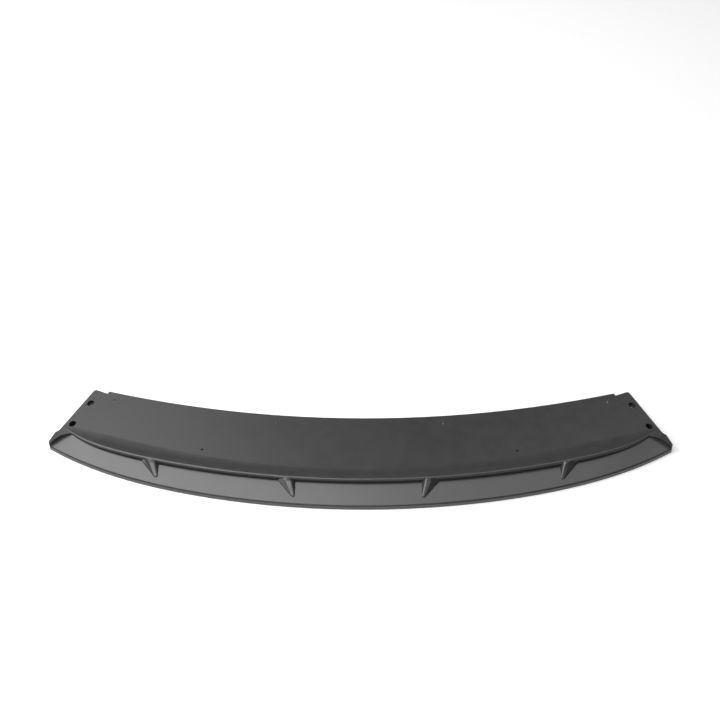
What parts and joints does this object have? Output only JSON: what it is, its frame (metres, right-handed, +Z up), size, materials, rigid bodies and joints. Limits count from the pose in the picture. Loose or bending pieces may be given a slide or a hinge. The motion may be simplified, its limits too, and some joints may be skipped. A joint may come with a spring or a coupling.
{
  "type": "front splitter lip",
  "caption": "Long bowed front splitter lip: thin moulded sheet with a front flange, a stepped crest with gusset fins, a sloping mounting plate, and screw wells and raised ears at its ends.",
  "frame": {"origin": "on the ground under the middle of the lip's bounding box, as it lies on a bench", "axes": "+X across the car along the lip, -Y forward to the lip's front edge, +Z up"},
  "size_m": [1.1968, 0.2971, 0.0286],
  "materials": {
    "lip_plastic": "black, fine moulded grain, satin sheen"
  },
  "bodies": {
    "root": {"splitter_lip": "lip_plastic"}
  },
  "joints": []
}
